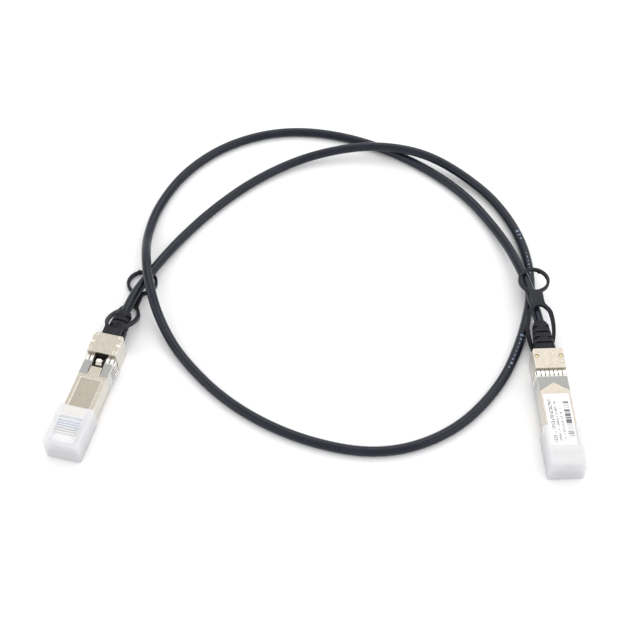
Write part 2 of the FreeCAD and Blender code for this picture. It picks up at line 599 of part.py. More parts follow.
def boot(side):
    """Tapered strain relief with a domed tip, its neck and flange held by the housings."""
    body = newBody(side, "boot")
    ends = [("shellEnd + pinClearance", "bootBaseHalf", "bootBaseRise"),
            ("bootEnd - bootDome", "bootTipHalf", "bootTipRise"),
            ("bootEnd", "bootTipHalf - bootDomeDrop", "bootTipRise - bootDomeDrop / 2")]
    for first, last in zip(ends, ends[1:]):
        sections = []
        for place, half, rise in (first, last):
            outline = newSketch(body, "YZ_Plane", place)
            roundedRectangle(outline, "-(%s)" % half, half, "cableAxis - (%s)" % rise,
                             "cableAxis + " + rise, "bootCorner")
            sections.append(outline)
        loft = body.newObject("PartDesign::AdditiveLoft", "Loft")
        loft.Profile = sections[0]
        loft.Sections = sections[1:]
        doc.recompute()
    for i in range(BOOT_SLOTS):
        slot = newSketch(body, "YZ_Plane", "bootSlotFirst + %d * bootSlotPitch" % i)
        core = "(cableDiameter / 2 + bootCore)"
        for mark in ("", "-"):
            if i % 2 == 0:
                rectangle(slot, "-bootTipHalf", "bootTipHalf", "cableAxis + %s%s" % (mark, core),
                          "cableAxis + %s2 * bootBaseRise" % mark)
            else:
                polygon(slot, [(mark + x, "cableAxis + " + z) for x, z in (
                    ("bootSpine", "2 * bootBaseRise"), ("2 * bootBaseHalf", "2 * bootBaseRise"),
                    ("2 * bootBaseHalf", "-2 * bootBaseRise"), ("bootSpine", "-2 * bootBaseRise"),
                    ("bootSpine", "-" + core), (core, "-" + core), (core, core), ("bootSpine", core))])
        pocket(body, slot, "bootSlot", middle=True)
    neck = newSketch(body, "YZ_Plane", "shellEnd - rearWall - seam")
    circle(neck, "0", "cableAxis", "neckRadius")
    pad(body, neck, "rearWall + 2 * running")
    flange = newSketch(body, "YZ_Plane", "shellEnd - rearWall - seam - flangeThick")
    roundedRectangle(flange, "-flangeHalf", "flangeHalf", "cableAxis - flangeHalf + tipSetback",
                     "cableAxis + flangeTop", "faceWall")
    pad(body, flange, "flangeThick")
    bore = newSketch(body, "YZ_Plane", "bootEnd + 1")
    circle(bore, "0", "cableAxis", "cableDiameter / 2 + pinClearance / 2")
    pocket(body, bore, "bootEnd - shellEnd + rearWall + flangeThick + 2")
    return body


def disc(name, x, radius, height):
    item = doc.addObject("Part::Cylinder", name)
    item.setExpression("Placement.Base.x", bound(x))
    item.setExpression("Radius", bound(radius))
    item.setExpression("Height", bound(height))
    return item


def oval(name, x, length, half, height):
    """Elliptical block standing on the base plane, longer along X."""
    edge = doc.addObject("Part::Ellipse", name + "_edge")
    edge.setExpression("MajorRadius", bound(length))
    edge.setExpression("MinorRadius", bound(half))
    edge.setExpression("Placement.Base.x", bound(x))
    item = doc.addObject("Part::Extrusion", name)
    item.Base = edge
    item.DirMode = "Custom"
    item.Dir = Vector(0, 0, 1)
    item.Solid = True
    item.setExpression("LengthFwd", bound(height))
    return item


def flare(name, base, start, end, radius):
    """Fills the inner corners of a flat outline, between two places along X, with a radius."""
    doc.recompute()
    item = doc.addObject("Part::Fillet", name)
    item.Base = base
    item.Edges = [(i, value(radius), value(radius)) for i, edge in enumerate(base.Shape.Edges, start=1)
                  if edge.BoundBox.ZLength > 1 and edge.BoundBox.DiagonalLength < value("capHeight") + 1e-6
                  and value(start) + 1e-6 < edge.BoundBox.XMin < value(end) and abs(edge.BoundBox.YMin) > 1]
    return item


def fuse(name, parts):
    item = doc.addObject("Part::MultiFuse", name)
    item.Shapes = parts
    return item


def cut(name, base, tool):
    item = doc.addObject("Part::Cut", name)
    item.Base = base
    item.Tool = tool
    return item


def pullTab(side):
    """Flat moulded tab: plate on the slider, loop round the boot, bridge and finger ring."""
    name = side + "_tab_"
    tall = "capHeight"
    start = "shellEnd + tabGap"
    plate = box(name + "plate", start, "-tabBaseHalf", "0", "loopCentre - loopHalf - shellEnd - tabGap",
                "2 * tabBaseHalf", tall)
    loop = oval(name + "loop", "loopCentre", "loopLength + loopBand", "loopHalf + loopBand", tall)
    bridge = box(name + "bridge", "loopCentre + loopHalf", "-bridgeHalf", "0",
                 "ringCentre - loopCentre - loopHalf - bridgeHalf", "2 * bridgeHalf", tall)
    ring = disc(name + "ring", "ringCentre", "ringRadius", tall)
    solid = fuse(name + "outline", [plate, loop, bridge, ring])
    waist = flare(name + "waist", solid, "shellEnd + tabGap", "loopCentre + loopLength + loopBand",
                  "loopFlare")
    neck = flare(name + "neck", waist, "ringCentre - ringRadius", "ringCentre", "bridgeFlare")
    holes = fuse(name + "holes", [oval(name + "hole", "loopCentre", "loopLength", "loopHalf", tall),
                                  disc(name + "ring_hole", "ringCentre", "ringRadius - ringBand", tall)])
    plan = cut(name + "plan", neck, holes)
    bent = newBody(side, "tab_bend")
    profile = newSketch(bent, "XZ_Plane")
    foot = "tabLow - tabDrop"
    end = "ringCentre + ringRadius + 1"
    polygon(profile, [(start, "tabLow"), ("bendStart", "tabLow"), ("bendEnd", foot), (end, foot),
                      (end, foot + " + tabThick"), ("bendEnd + bendEase", foot + " + tabThick"),
                      ("bendStart + bendEase", "tabLow + tabThick"), (start, "tabLow + tabThick")])
    pad(bent, profile, "2 * (ringRadius + 2)", middle=True)
    shaped = doc.addObject("Part::Common", name + "shaped")
    shaped.Base = plan
    shaped.Tool = bent
    seat = box(name + "seat", start + " - 1", "-sliderHalf", "sliderLow",
               "sliderEnd - shellEnd - tabGap + 1", "2 * sliderHalf", "sliderThick")
    seated = cut(name + "seated", shaped, seat)
    nub = disc(name + "nub", "ringCentre + (ringRadius - ringBand / 2) * cos(nubTurn)", "nubRadius",
               "tabThick + nubHeight")
    nub.setExpression("Placement.Base.y", bound("(ringRadius - ringBand / 2) * sin(nubTurn)"))
    nub.setExpression("Placement.Base.z", bound(foot))
    return fuse(side + "_pull_tab", [seated, nub])


def dustCap(side):
    """Translucent push-on cap with a ribbed recess on its latch side."""
    top = "moduleBase + moduleHeight + capClearance"
    body = newBody(side, "dust_cap")
    outline = newSketch(body, "YZ_Plane", "capFront")
    roundedRectangle(outline, "-capWidth / 2", "capWidth / 2", "0", "capHeight", "capRound")
    pad(body, outline, "capMouth - capFront")
    hollow = newSketch(body, "YZ_Plane", "capMouth")
    rectangle(hollow, "-moduleWidth / 2 - capClearance", "moduleWidth / 2 + capClearance",
              "moduleBase - capClearance", top)
    pocket(body, hollow, "capMouth - capFront - capFrontWall")
    recess = newSketch(body, "XY_Plane", "capHeight")
    rectangle(recess, "capFront + capFrontWall", "capRecessEnd", "-capRecessHalf", "capRecessHalf")
    pocket(body, recess, "capRecess")
    for i in range(RIBS):
        rib = newSketch(body, "XY_Plane", "capHeight - capRecess - running")
        place = "capRibFirst + %d * capRibPitch" % i
        rectangle(rib, place + " - capRib / 2", place + " + capRib / 2", "-capRecessHalf - running",
                  "capRecessHalf + running")
        pad(body, rib, "capRecess + running - 2 * capRibSink")
    return body


def rivets(side):
    """Two domed rivets that hold the housing halves together, seen on the label side."""
    heads = []
    rise = value("rivetRise")
    for y in (-value("rivetHalf"), value("rivetHalf")):
        floor = Vector(value("rivetAt"), y, value("backBase + rivetDepth"))
        ball = Part.makeSphere(value("rivetRadius"), floor)
        slab = Part.makeBox(2, 2, rise, floor + Vector(-1, -1, -rise))
        heads.append(ball.common(slab))
    return feature(side, "rivets", Part.makeCompound(heads))


def productLabel(side):
    return box(side + "_label", "labelFront", "-labelHalf", "moduleBase", "labelEnd - labelFront",
               "2 * labelHalf", "labelThick")


def cordEnds():
    """The route with its two ends laid on the tips of the boots."""
    tips = []
    for side in ("left", "right"):
        tips.append(station(side).multVec(Vector(value("bootEnd + pinClearance"), 0, value("cableAxis"))))
    return [tips[0]] + [Vector(*point) for point in ROUTE[1:-1]] + [tips[1]]


def cable():
    """Jacketed cable between the boots: straight runs joined by tangent arcs."""
    points = cordEnds()
    runs = [points[i + 1] - points[i] for i in range(len(points) - 1)]
    edges = []
    radii = []
    total = 0
    start = points[0]
    for i in range(1, len(points) - 1):
        before, after = runs[i - 1], runs[i]
        turn = before.getAngle(after)
        reach = 0.45 * min(before.Length, after.Length)
        radius = reach / math.tan(turn / 2)
        into = points[i] - Vector(before).normalize() * reach
        out = points[i] + Vector(after).normalize() * reach
        inward = (into + out) / 2 - points[i]
        inward.normalize()
        crest = points[i] + inward * radius * (1 / math.cos(turn / 2) - 1)
        edges.append(Part.LineSegment(start, into).toShape())
        edges.append(Part.Arc(into, crest, out).toShape())
        total += (into - start).Length + radius * turn
        radii.append(round(radius, 1))
        start = out
    edges.append(Part.LineSegment(start, points[-1]).toShape())
    total += (points[-1] - start).Length
    radius = value("cableDiameter / 2")
    section = Part.Wire(Part.makeCircle(radius, points[0], runs[0]))
    tube = Part.Wire(edges).makePipeShell([section], True, False)
    expected = math.pi * radius ** 2 * total
    print("cable %.1f mm long, volume %.4f of expected" % (total, tube.Volume / expected))
    print("cable radii", radii)
    item = doc.addObject("Part::Feature", "cable")
    item.Label = "cable"
    item.Shape = tube
    return item


# --- assembly -------------------------------------------------------------------------------

SUBPARTS = [topShell, latchShell, emiCollar, paddleCard, cardContacts, memoryChip, wirePairs,
            cableTail, crimpFerrule, latchLever, latchPin, pullSlider, returnSpring, boot, pullTab,
            dustCap, rivets]


def module(side):
    makers = SUBPARTS + ([productLabel] if side == "right" else [])
    pieces = [maker(side) for maker in makers]
    doc.recompute()
    return pieces


def main():
    nodes = []
    for side in STATIONS:
        nodes += [(piece, station(side)) for piece in module(side)]
    nodes.append((cable(), Placement()))
    doc.recompute()
    for item in doc.Objects:
        if "Invalid" in item.State or "Error" in item.State:
            raise RuntimeError("%s failed: %s" % (item.Label, item.State))
    os.makedirs("parts", exist_ok=True)
    for item, place in nodes:
        shape = item.Shape.copy()
        shape.Placement = place.multiply(shape.Placement)
        if shape.isNull() or not shape.isValid():
            raise RuntimeError("%s has no valid shape" % item.Label)
        shape.exportStep("parts/%s.step" % item.Label)
        print("%-24s %8.2f mm3" % (item.Label, shape.Volume))


main()
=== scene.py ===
import math
import bmesh
import bpy
from mathutils import Matrix, Vector


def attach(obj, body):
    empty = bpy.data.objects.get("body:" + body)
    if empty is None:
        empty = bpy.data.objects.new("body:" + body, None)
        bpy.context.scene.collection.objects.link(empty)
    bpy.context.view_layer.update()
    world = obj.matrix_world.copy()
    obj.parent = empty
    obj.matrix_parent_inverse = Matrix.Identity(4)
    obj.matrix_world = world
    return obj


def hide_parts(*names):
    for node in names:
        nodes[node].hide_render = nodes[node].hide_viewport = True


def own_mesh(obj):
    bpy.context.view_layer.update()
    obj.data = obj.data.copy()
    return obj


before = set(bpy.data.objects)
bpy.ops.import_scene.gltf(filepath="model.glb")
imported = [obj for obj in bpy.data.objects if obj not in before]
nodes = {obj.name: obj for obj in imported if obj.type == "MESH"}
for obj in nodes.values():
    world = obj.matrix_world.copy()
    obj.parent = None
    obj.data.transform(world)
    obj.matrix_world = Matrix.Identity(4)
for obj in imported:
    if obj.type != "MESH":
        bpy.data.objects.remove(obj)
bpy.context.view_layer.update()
mm = 0.001
print("frame loaded,", len(nodes), "nodes")

# Where each module lies: its mating end in millimetres, the way it points, and its roll.
stations = {
    "left": {"x": -106.2, "y": -45.1, "lift": 0, "yaw": 75.7, "roll": 0},
    "right": {"x": 106.4, "y": -54.7, "lift": 12.2, "yaw": 92.2, "roll": 180},
}


def modulePlace(side):
    # module millimetres to metres in the frame
    spot = stations[side]
    turn = Matrix.Rotation(math.radians(spot["yaw"]), 4, "Z")
    turn = turn @ Matrix.Rotation(math.radians(spot["roll"]), 4, "X")
    return Matrix.Scale(mm, 4) @ Matrix.Translation((spot["x"], spot["y"], spot["lift"])) @ turn


def newObject(name, data):
    item = bpy.data.objects.new(name, data)
    bpy.context.scene.collection.objects.link(item)
    return item


def weldedCopy(nodeName):
    # a node's mesh copied, with its loose triangles joined up for editing
    mesh = nodes[nodeName].data.copy()
    work = bmesh.new()
    work.from_mesh(mesh)
    bmesh.ops.remove_doubles(work, verts=work.verts, dist=1e-6)
    return mesh, work


# Node trees: sockets that can stand in sums, and the materials and shapes made of them.

class Wire:
    def __init__(self, graph, socket):
        self.graph = graph
        self.socket = socket

    def out(self, name):
        return Wire(self.graph, self.socket.node.outputs[name])

    def maths(self, operation, *others):
        return self.graph.node("ShaderNodeMath", {"operation": operation}, [self, *others])

    def __add__(self, other):
        return self.maths("ADD", other)

    __radd__ = __add__

    def __mul__(self, other):
        return self.maths("MULTIPLY", other)

    __rmul__ = __mul__

    def __sub__(self, other):
        return self.maths("SUBTRACT", other)

    def __rsub__(self, other):
        return self.graph.node("ShaderNodeMath", {"operation": "SUBTRACT"}, [other, self])

    def __truediv__(self, other):
        return self.maths("DIVIDE", other)

    def __pow__(self, other):
        return self.maths("POWER", other)

    def __gt__(self, other):
        return self.maths("GREATER_THAN", other)

    def __lt__(self, other):
        return self.maths("LESS_THAN", other)

    def __abs__(self):
        return self.maths("ABSOLUTE")


class Graph:
    def node(self, kind, settings=None, sockets=None, output=0):
        item = self.tree.nodes.new(kind)
        for name, choice in (settings or {}).items():
            setattr(item, name, choice)
        feeds = sockets.items() if isinstance(sockets, dict) else enumerate(sockets or [])
        for name, feed in feeds:
            if isinstance(feed, Wire):
                self.tree.links.new(feed.socket, item.inputs[name])
            else:
                item.inputs[name].default_value = feed
        return None if output is None else Wire(self, item.outputs[output])


edgeSearch = {"turn": (0.99, 0.8), "samples": 6}  # how far a surface turns before it counts as an edge


class Finish(Graph):
    # one material
    def __init__(self, name):
        self.material = bpy.data.materials.new(name)
        self.material.use_nodes = True
        self.tree = self.material.node_tree
        self.tree.nodes.clear()

    def mix(self, factor, first, second):
        return self.node("ShaderNodeMix", {"data_type": "RGBA"},
                         {"Factor": factor, 6: first, 7: second}, output=2)

    def place(self, side=None):
        # object coordinates in millimetres, the module's own when a side is named
        feeds = {"Vector": self.node("ShaderNodeTexCoord").out("Object"), "Scale": (mm, mm, mm)}
        if side:
            spot = stations[side]
            feeds["Location"] = (spot["x"] * mm, spot["y"] * mm, spot["lift"] * mm)
            feeds["Rotation"] = (math.radians(spot["roll"]), 0, math.radians(spot["yaw"]))
        return self.node("ShaderNodeMapping", {"vector_type": "TEXTURE"}, feeds)

    def split(self, spot):
        parts = self.node("ShaderNodeSeparateXYZ", {}, {"Vector": spot})
        return parts.out("X"), parts.out("Y"), parts.out("Z")

    def noise(self, spot, scale, detail=3.0, rough=0.5):
        return self.node("ShaderNodeTexNoise", {},
                         {"Vector": spot, "Scale": scale, "Detail": detail, "Roughness": rough})

    def spread(self, feed, low, high, first=0.0, last=1.0):
        return self.node("ShaderNodeMapRange", {},
                         {"Value": feed, "From Min": low, "From Max": high, "To Min": first,
                          "To Max": last})

    def vary(self, noise, low=0.0, high=1.0):
        # noise keeps to its middle, so this stretches it over the whole span
        return self.spread(noise, 0.3, 0.7, low, high)

    def patches(self, noise):
        # more of the first tone than of the second
        return self.spread(noise, 0.35, 0.7)

    def within(self, feed, low, high, blur=0.1):
        # 1 between two places, with soft sides
        rise = self.spread(feed, low - blur, low + blur)
        return rise * self.spread(feed, high + blur, high - blur)

    def repeat(self, feed, shift=0.0):
        # the place within one step of a row
        return (feed + shift).maths("FRACT")

    def bump(self, height, distance, strength=1.0, normal=None):
        feeds = {"Height": height, "Distance": distance, "Strength": strength}
        if normal is not None:
            feeds["Normal"] = normal
        return self.node("ShaderNodeBump", {}, feeds)

    def softEdge(self, radius):
        return self.node("ShaderNodeBevel", {"samples": edgeSearch["samples"]}, {"Radius": radius})

    # finds edges; the finishes paint highlights along them
    def edgeMask(self, soft):
        # 1 along edges, 0 on flats
        flat = self.node("ShaderNodeNewGeometry").out("Normal")
        turned = self.node("ShaderNodeVectorMath", {"operation": "DOT_PRODUCT"}, [soft, flat])
        return self.spread(turned.out("Value"), *edgeSearch["turn"])

    def surface(self, **feeds):
        skin = self.node("ShaderNodeBsdfPrincipled", {},
                         {name.replace("_", " "): feed for name, feed in feeds.items()})
        self.node("ShaderNodeOutputMaterial", {}, {"Surface": skin}, output=None)
        return self.material


def tone(red, green, blue):
    return (red, green, blue, 1.0)


def shaded(colour, share):
    return tone(*(share * part for part in colour))


# Metal. Places are in module millimetres: along from the mating end, out from the middle, and up.

housing = {
    # the left tint is darker than the right: painted shade on the left module
    "tint": {"left": (0.58, 0.535, 0.46), "right": (0.64, 0.59, 0.51)},
    # bright is the tone of the painted highlights, flank the painted light on the side walls, and
    # shade also the painted shade in the sunken panel
    "shade": (0.36, 0.32, 0.26), "bright": (1.0, 0.965, 0.9), "flank": (0.86, 0.835, 0.78),
    "seam": (0.14, 0.11, 0.075), "metal": 0.75, "rough": (0.32, 0.58), "edge": 0.0003,
    "flecks": {"scale": 2.1, "detail": 5.0, "rough": 0.72, "share": 0.9, "blend": (0.36, 0.56)},
    "clouds": {"scale": 0.4, "share": 0.1}, "relief": {"distance": 0.00012, "strength": 0.9},
    "paint": {"panel": 0.6, "flank": 0.6, "joint": 0.75, "dot": 0.35},
    "paintedHighlight": {"line": 0.6, "ring": 0.7, "most": 0.85, "smoother": 0.12},
    "sideWall": 6.62, "joint": (5.58, 5.74), "latchFace": 9.5, "rearFace": 11,
    "panel": {"along": (12.2, 34.4), "half": 4.7, "above": 9.2},
    "rim": {"along": (12.2, 34.7), "out": (4.75, 5.0), "end": (34.3, 34.6), "half": 4.9},
    "recess": {"along": (52.4, 53.6), "beyond": 5.15},
    "marks": {"at": (57.2, 48.7), "out": 5.7, "ring": (0.6, 0.9), "dot": 0.5},
}
sheet = {
    # the band's tone differs per module as painted light and shade
    "band": {"left": (0.33, 0.33, 0.322), "right": (0.3, 0.3, 0.292)},
    # bright is the fingers' painted highlight, flank the painted light on the sides, slot the
    # painted shade in the cuts
    "bright": (0.94, 0.915, 0.87), "flank": (0.72, 0.72, 0.71), "slot": (0.1, 0.08, 0.055),
    "streaks": {"stretch": (0.6, 14.0, 14.0), "scale": 1.2}, "rough": (0.37, 0.49),
    "metal": 0.3, "fingerMetal": 0.5, "fingerSmoother": 0.2, "edge": 0.00006,
    "sideWall": 6.6, "sideShare": 0.7, "fingers": (43.5, 44.1),
    "flankCuts": {"from": 40.2, "levels": ((3.3, 4.1), (5.2, 6.0), (7.1, 7.9)),
                  "depth": {"left": 0.85, "right": 0.4}},
    "slits": {"pitch": 1.9, "half": 6.2, "edges": (0.17, 0.1), "depth": 0.85},
    "tongue": {"out": (2.7, 3.1), "along": (38.0, 41.3), "above": 8},
    "rear": {"along": (46.95, 47.3), "depth": 0.6},
    "front": {"along": (36.75, 36.55), "depth": 0.35},
}
latch = {
    # dark is painted shade in the channel, catch a painted highlight
    "dark": (0.012, 0.011, 0.01), "worn": (0.03, 0.028, 0.025), "catch": (0.95, 0.92, 0.86),
    "along": (42.5, 45.3), "half": 1.35, "rough": (0.3, 0.45), "edge": 0.0001,
}


def housingFinish(side):
    finish = Finish("nickelPlatedZinc_" + side)
    spot = finish.place(side)
    u, y, z = finish.split(spot)
    out = abs(y)
    panel, rim, recess, marks = (housing[part] for part in ("panel", "rim", "recess", "marks"))
    grain, paint, bright = housing["flecks"], housing["paint"], housing["paintedHighlight"]
    flecks = finish.noise(spot, grain["scale"], grain["detail"], grain["rough"])
    clouds = finish.noise(spot, housing["clouds"]["scale"], 2.0)
    blend = flecks * grain["share"] + clouds * housing["clouds"]["share"]
    colour = finish.mix(finish.spread(blend, *grain["blend"]), tone(*housing["shade"]),
                        tone(*housing["tint"][side]))
    # painted shade: the sunken panel darker
    sunk = finish.within(u, *panel["along"]) * (out < panel["half"]) * (z > panel["above"])
    colour = finish.mix(sunk * paint["panel"], colour, tone(*housing["shade"]))
    # painted light: the side walls paler
    flank = out > housing["sideWall"]
    colour = finish.mix(flank * paint["flank"], colour, tone(*housing["flank"]))
    joint = flank * finish.within(z, *housing["joint"])
    colour = finish.mix(joint * paint["joint"], colour, tone(*housing["seam"]))
    # four ringed marks at the corners of the rear plate, with painted shade in their middles and a
    # painted highlight on their rings
    rearFace = z > housing["rearFace"]
    rearMark, frontMark = (((u - along) ** 2 + (out - marks["out"]) ** 2) ** 0.5
                           for along in marks["at"])
    ring = finish.within(rearMark, *marks["ring"]) + finish.within(frontMark, *marks["ring"])
    dot = ((rearMark < marks["dot"]) + (frontMark < marks["dot"])) * rearFace
    colour = finish.mix(dot * paint["dot"], colour, tone(*housing["seam"]))
    # painted highlights: along the edges, on the panel's rim, on the rear plate's step and round
    # the marks' rings
    soft = finish.softEdge(housing["edge"])
    line = finish.within(out, *rim["out"]) * finish.within(u, *rim["along"])
    line = line + finish.within(u, *rim["end"]) * (out < rim["half"])
    step = finish.within(u, *recess["along"]) * (out > recess["beyond"])
    shine = line * bright["line"] + step * rearFace + ring * rearFace * bright["ring"]
    paintedHighlight = finish.edgeMask(soft).maths("MAXIMUM", (z > housing["latchFace"]) * shine)
    colour = finish.mix(paintedHighlight * bright["most"], colour, tone(*housing["bright"]))
    rough = finish.vary(flecks, *housing["rough"]) - paintedHighlight * bright["smoother"]
    return finish.surface(Base_Color=colour, Metallic=housing["metal"], Roughness=rough,
                          Normal=finish.bump(flecks, **housing["relief"], normal=soft))


def collarFinish(side):
    finish = Finish("springSheet_" + side)
    spot = finish.place(side)
    u, y, z = finish.split(spot)
    out = abs(y)
    flankCuts, slits, tongue = (sheet[part] for part in ("flankCuts", "slits", "tongue"))
    brushing, rear, front = (sheet[part] for part in ("streaks", "rear", "front"))
    streaks = finish.node("ShaderNodeMapping", {}, {"Vector": spot, "Scale": brushing["stretch"]})
    brushed = finish.noise(streaks, brushing["scale"], 2.0)
    # painted highlight: the bulged fingers paler than the band
    finger = finish.spread(u, *sheet["fingers"])
    colour = finish.mix(finger, tone(*sheet["band"][side]), tone(*sheet["bright"]))
    # painted light: the sides paler
    sides = out > sheet["sideWall"]
    colour = finish.mix(sides * (1.0 - finger) * sheet["sideShare"], colour, tone(*sheet["flank"]))
    # painted shade: dark strips over the cuts down the flanks, between the fingers and round the
    # tongue, and a painted shadow line at both ends
    cuts = sides * (u > flankCuts["from"]) * sum(finish.within(z, *level)
                                                 for level in flankCuts["levels"])
    between = abs(finish.repeat(y / slits["pitch"]) - 0.5)
    gaps = finish.spread(between, *slits["edges"]) * (out < slits["half"]) * finger
    edges = finish.within(out, *tongue["out"], 0.08) * finish.within(u, *tongue["along"], 0.15)
    edges = edges * (z > tongue["above"])
    ends = (finish.spread(u, *rear["along"]) * rear["depth"]
            + finish.spread(u, *front["along"]) * front["depth"])
    dark = cuts * flankCuts["depth"][side] + gaps * slits["depth"] + edges
    colour = finish.mix(dark.maths("MAXIMUM", ends), colour, tone(*sheet["slot"]))
    rough = finish.vary(brushed, *sheet["rough"]) - finger * sheet["fingerSmoother"]
    metal = sheet["metal"] + finger * sheet["fingerMetal"]
    return finish.surface(Base_Color=colour, Metallic=metal, Roughness=rough,
                          Normal=finish.bump(brushed, 0.00002, 0.3, finish.softEdge(sheet["edge"])))


def plainMetal(name, colour, rough):
    finish = Finish(name)
    cloud = finish.noise(finish.place(), 2.0)
    tinted = finish.mix(finish.vary(cloud), shaded(colour, 0.75), tone(*colour))
    return finish.surface(Base_Color=tinted, Metallic=1.0,
                          Roughness=finish.vary(cloud, rough - 0.05, rough + 0.08),
                          Normal=finish.bump(cloud, 0.00002, 0.5, finish.softEdge(0.00008)))


def latchFinish(side):
    # painted shade over the lever inside the channel, and a painted highlight where the catch
    # stands up in it
    finish = Finish("latchSteel_" + side)
    spot = finish.place(side)
    u, y = finish.split(spot)[:2]
    scuffs = finish.noise(spot, 1.8)
    catch = finish.within(u, *latch["along"], 0.15) * (abs(y) < latch["half"])
    catch = catch * finish.spread(scuffs, 0.4, 0.6, 0.75, 1.0)
    dark = finish.mix(finish.patches(scuffs), tone(*latch["dark"]), tone(*latch["worn"]))
    colour = finish.mix(catch, dark, tone(*latch["catch"]))
    return finish.surface(Base_Color=colour, Metallic=1.0,
                          Roughness=finish.vary(scuffs, *latch["rough"]),
                          Normal=finish.bump(scuffs, 0.00002, 0.5, finish.softEdge(latch["edge"])))


# Mouldings.

mouldings = {
    # worn is the paler tone of a painted highlight along the edges
    "boot": {"colour": (0.013, 0.0135, 0.017), "worn": (0.03, 0.031, 0.038), "rough": (0.34, 0.52),
             "grain": 4.0, "edge": 0.0004, "shine": 0.1},
    "tab": {"colour": (0.009, 0.01, 0.0135), "worn": (0.03, 0.032, 0.04), "rough": (0.34, 0.52),
            "grain": 5.0, "edge": 0.0003, "shine": 0.2},
}
bootSlots = {
    # the slots' colour is painted shade, the lips' colour a painted highlight
    "first": 63.3, "pitch": 3.05, "last": 73.5, "spine": 1.85, "cut": (0.36, 0.64),
    "edge": (0.67, 0.86), "edgeShare": 0.7, "slotShade": (0.0008, 0.0008, 0.001),
    "lip": (0.04, 0.042, 0.051),
}
jacket = {
    "colour": (0.0035, 0.0055, 0.0135), "worn": (0.007, 0.0105, 0.021), "rough": (0.22, 0.32),
    "shine": 0.32,
}
cap = {
    "body": (0.81, 0.815, 0.835), "thin": (0.83, 0.835, 0.85), "cream": (0.94, 0.91, 0.85),
    "groove": (0.7, 0.77, 0.96), "ember": (0.9, 0.84, 0.82), "clear": (0.97, 0.965, 0.95),
    "foot": (0.62, 0.61, 0.63), "line": (0.66, 0.64, 0.6),
    "veil": 0.62, "ribVeil": 0.9, "mouthVeil": 0.12, "rough": (0.38, 0.46), "edge": 0.0008,
    "paint": {"cream": 0.9, "groove": 0.7, "line": 0.6, "foot": 0.9, "edges": 0.5},
    "milk": {"weight": 0.6, "depth": 0.0015}, "footFrom": (9.0, 0.5),
    "ribFirst": 4.4, "ribPitch": 1.24, "ribs": 6, "grooveStart": 3.8, "grooveSide": (0.1, 0.26),
    "ribArea": {"half": 5.3, "above": 10.9, "along": (0.0, 12.8)}, "warm": (9.5, 4.4),
    "mouth": {"along": (13.2, 17.2), "half": 5.0, "above": 11.5},
    "labelFace": {"below": 1.35, "half": 5.7, "clearFrom": (7.0, 9.5)},
    "lines": {"at": ((3.9, 4.15), (7.0, 7.2)), "half": 5.9},
}


def mouldedBlack(name, side):
    look = mouldings[name]
    finish = Finish("black_" + name + "_" + side)
    spot = finish.place(side)
    speckle = finish.noise(spot, look["grain"], 4.0, 0.6)
    cloud = finish.noise(spot, 0.35, 2.0)
    soft = finish.softEdge(look["edge"])
    faded = finish.patches(cloud * 0.6 + speckle * 0.4)
    colour = finish.mix(faded, tone(*look["colour"]), shaded(look["colour"], 1.9))
    # painted highlight: a paler tone along the edges
    colour = finish.mix(finish.edgeMask(soft) * 0.8, colour, tone(*look["worn"]))
    if name == "boot":
        # painted shade in the slots, across the faces and down the sides by turns, each with a
        # painted highlight on its lip
        u, y = finish.split(spot)[:2]
        row = (u - bootSlots["first"]) / bootSlots["pitch"]
        onFaces = finish.repeat(row / 2, 0.25) < 0.5
        reach = onFaces.maths("MAXIMUM", abs(y) > bootSlots["spine"])
        reach = reach * finish.within(u, bootSlots["first"] - 0.6, bootSlots["last"])
        step = finish.repeat(row, 0.5)
        lip = finish.within(step, *bootSlots["edge"], 0.05) * reach * bootSlots["edgeShare"]
        colour = finish.mix(lip, colour, tone(*bootSlots["lip"]))
        cut = finish.within(step, *bootSlots["cut"], 0.04) * reach
        colour = finish.mix(cut, colour, tone(*bootSlots["slotShade"]))
    return finish.surface(Base_Color=colour, Roughness=finish.vary(speckle, *look["rough"]),
                          Specular_IOR_Level=look["shine"],
                          Normal=finish.bump(speckle, 0.00005, 0.5, soft))


def jacketFinish():
    finish = Finish("cableJacket")
    spot = finish.place()
    fine = finish.noise(spot, 1.8)
    wide = finish.noise(spot, 0.12, 2.0)
    colour = finish.mix(finish.patches(wide), tone(*jacket["colour"]), tone(*jacket["worn"]))
    rough = finish.spread(fine * 0.5 + wide * 0.5, 0.35, 0.65, *jacket["rough"])
    return finish.surface(Base_Color=colour, Roughness=rough, Specular_IOR_Level=jacket["shine"],
                          Normal=finish.bump(fine, 0.00005, 0.3))


